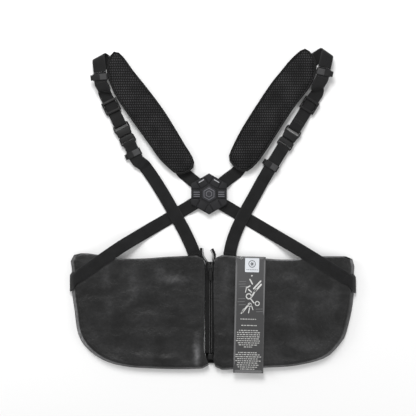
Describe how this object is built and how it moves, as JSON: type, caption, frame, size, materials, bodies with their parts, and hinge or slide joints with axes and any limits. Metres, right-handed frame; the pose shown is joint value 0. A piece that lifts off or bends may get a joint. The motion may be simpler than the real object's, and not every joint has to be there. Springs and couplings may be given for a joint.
{
  "type": "safety harness vest",
  "caption": "Flat-laid work vest: zip-joined pouches, padded shoulder straps, crossing back straps at a hub, buckled front straps, sliding adjusters and keepers.",
  "frame": {"origin": "centre of the hub's back face, on the surface that the vest lies on", "axes": "+Y towards the shoulder ends, +X to the right seen from the front, +Z out of the face"},
  "size_m": [0.5709, 0.6483, 0.0178],
  "materials": {
    "pouch_lining": "plain weave",
    "pouch_shell": "soft coated shell with low sheen",
    "binding": "ribbed tape",
    "pad_foam": "closed-cell foam",
    "spacer_mesh": "open spacer mesh",
    "webbing": "woven webbing",
    "elastic": "woven elastic",
    "hardware_plastic": "fine satin",
    "zip_teeth": "moulded coil",
    "zip_tape": "woven tape",
    "zip_metal": "worn grey",
    "hub_plastic": "satin moulding",
    "emblem_plastic": "low gloss",
    "screw_steel": "plain",
    "tag_film": "printed film",
    "tag_label": "smooth"
  },
  "bodies": {
    "vest": {"left_pouch_back_panel": "pouch_lining", "left_pouch_front_panel": "pouch_shell", "left_pouch_side_band": "pouch_shell", "left_pad_binding": "binding", "left_pad_backing": "pouch_lining", "left_pad_foam": "pad_foam", "left_pad_mesh_face": "spacer_mesh", "left_back_strap": "webbing", "left_shoulder_strap": "webbing", "left_front_strap_upper": "webbing", "left_front_strap_lower": "webbing", "left_buckle_socket": "hardware_plastic", "left_buckle_plug": "hardware_plastic", "zip_left_teeth": "zip_teeth", "zip_left_tape": "zip_tape", "right_pouch_back_panel": "pouch_lining", "right_pouch_front_panel": "pouch_shell", "right_pouch_side_band": "pouch_shell", "right_pad_binding": "binding", "right_pad_backing": "pouch_lining", "right_pad_foam": "pad_foam", "right_pad_mesh_face": "spacer_mesh", "right_back_strap": "webbing", "right_shoulder_strap": "webbing", "right_front_strap_upper": "webbing", "right_front_strap_lower": "webbing", "right_buckle_socket": "hardware_plastic", "right_buckle_plug": "hardware_plastic", "zip_right_teeth": "zip_teeth", "zip_right_tape": "zip_tape", "zip_retainer_box": "zip_metal", "hub_base_plate": "hub_plastic", "hub_cover": "hub_plastic", "hub_emblem": "emblem_plastic", "tag_strip": "tag_film", "tag_label": "tag_label", "tag_eyelet": "zip_metal", "hub_screw_1": "screw_steel", "hub_screw_2": "screw_steel", "hub_screw_3": "screw_steel", "hub_screw_4": "screw_steel"},
    "slider": {"zip_slider": "zip_metal"},
    "pull": {"zip_pull": "zip_metal"},
    "left_upper_keeper": {"left_upper_keeper": "elastic"},
    "left_lower_keeper": {"left_lower_keeper": "elastic"},
    "left_adjuster": {"left_adjuster": "hardware_plastic"},
    "left_inner_arm": {"left_buckle_inner_arm": "hardware_plastic"},
    "left_outer_arm": {"left_buckle_outer_arm": "hardware_plastic"},
    "right_upper_keeper": {"right_upper_keeper": "elastic"},
    "right_lower_keeper": {"right_lower_keeper": "elastic"},
    "right_adjuster": {"right_adjuster": "hardware_plastic"},
    "right_inner_arm": {"right_buckle_inner_arm": "hardware_plastic"},
    "right_outer_arm": {"right_buckle_outer_arm": "hardware_plastic"}
  },
  "joints": [
    {"name": "zip_slide", "type": "slide", "parent": "vest", "child": "slider", "axis": [0, 1, 0], "range_m": [-0.155, 0]},
    {"name": "zip_pull_swing", "type": "hinge", "parent": "slider", "child": "pull", "pos_m": [0.003, -0.147, 0.01238], "axis": [-1, 0, 0], "range_deg": [0, 150]},
    {"name": "left_upper_keeper_slide", "type": "slide", "parent": "vest", "child": "left_upper_keeper", "axis": [-0.1045, 0.9945, 0], "range_m": [-0.005, 0.002]},
    {"name": "left_lower_keeper_slide", "type": "slide", "parent": "vest", "child": "left_lower_keeper", "axis": [0.4382, -0.8989, 0], "range_m": [-0.005, 0.006]},
    {"name": "left_adjuster_slide", "type": "slide", "parent": "vest", "child": "left_adjuster", "axis": [-0.4382, 0.8989, 0], "range_m": [-0.002, 0.002]},
    {"name": "left_inner_arm_squeeze", "type": "hinge", "parent": "vest", "child": "left_inner_arm", "pos_m": [-0.16109, 0.11977, 0], "axis": [0, 0, 1], "range_deg": [0, 9], "stiffness_Nm_per_rad": 0.3},
    {"name": "left_outer_arm_squeeze", "type": "hinge", "parent": "vest", "child": "left_outer_arm", "pos_m": [-0.17296, 0.11399, 0], "axis": [0, 0, -1], "range_deg": [0, 9], "stiffness_Nm_per_rad": 0.3},
    {"name": "right_upper_keeper_slide", "type": "slide", "parent": "vest", "child": "right_upper_keeper", "axis": [0.2181, 0.9759, 0], "range_m": [-0.005, 0.002]},
    {"name": "right_lower_keeper_slide", "type": "slide", "parent": "vest", "child": "right_lower_keeper", "axis": [-0.5277, -0.8494, 0], "range_m": [-0.005, 0.006]},
    {"name": "right_adjuster_slide", "type": "slide", "parent": "vest", "child": "right_adjuster", "axis": [0.5277, 0.8494, 0], "range_m": [-0.002, 0.002]},
    {"name": "right_inner_arm_squeeze", "type": "hinge", "parent": "vest", "child": "right_inner_arm", "pos_m": [0.15229, 0.11272, 0], "axis": [0, 0, -1], "range_deg": [0, 9], "stiffness_Nm_per_rad": 0.3},
    {"name": "right_outer_arm_squeeze", "type": "hinge", "parent": "vest", "child": "right_outer_arm", "pos_m": [0.1635, 0.10575, 0], "axis": [0, 0, 1], "range_deg": [0, 9], "stiffness_Nm_per_rad": 0.3}
  ]
}
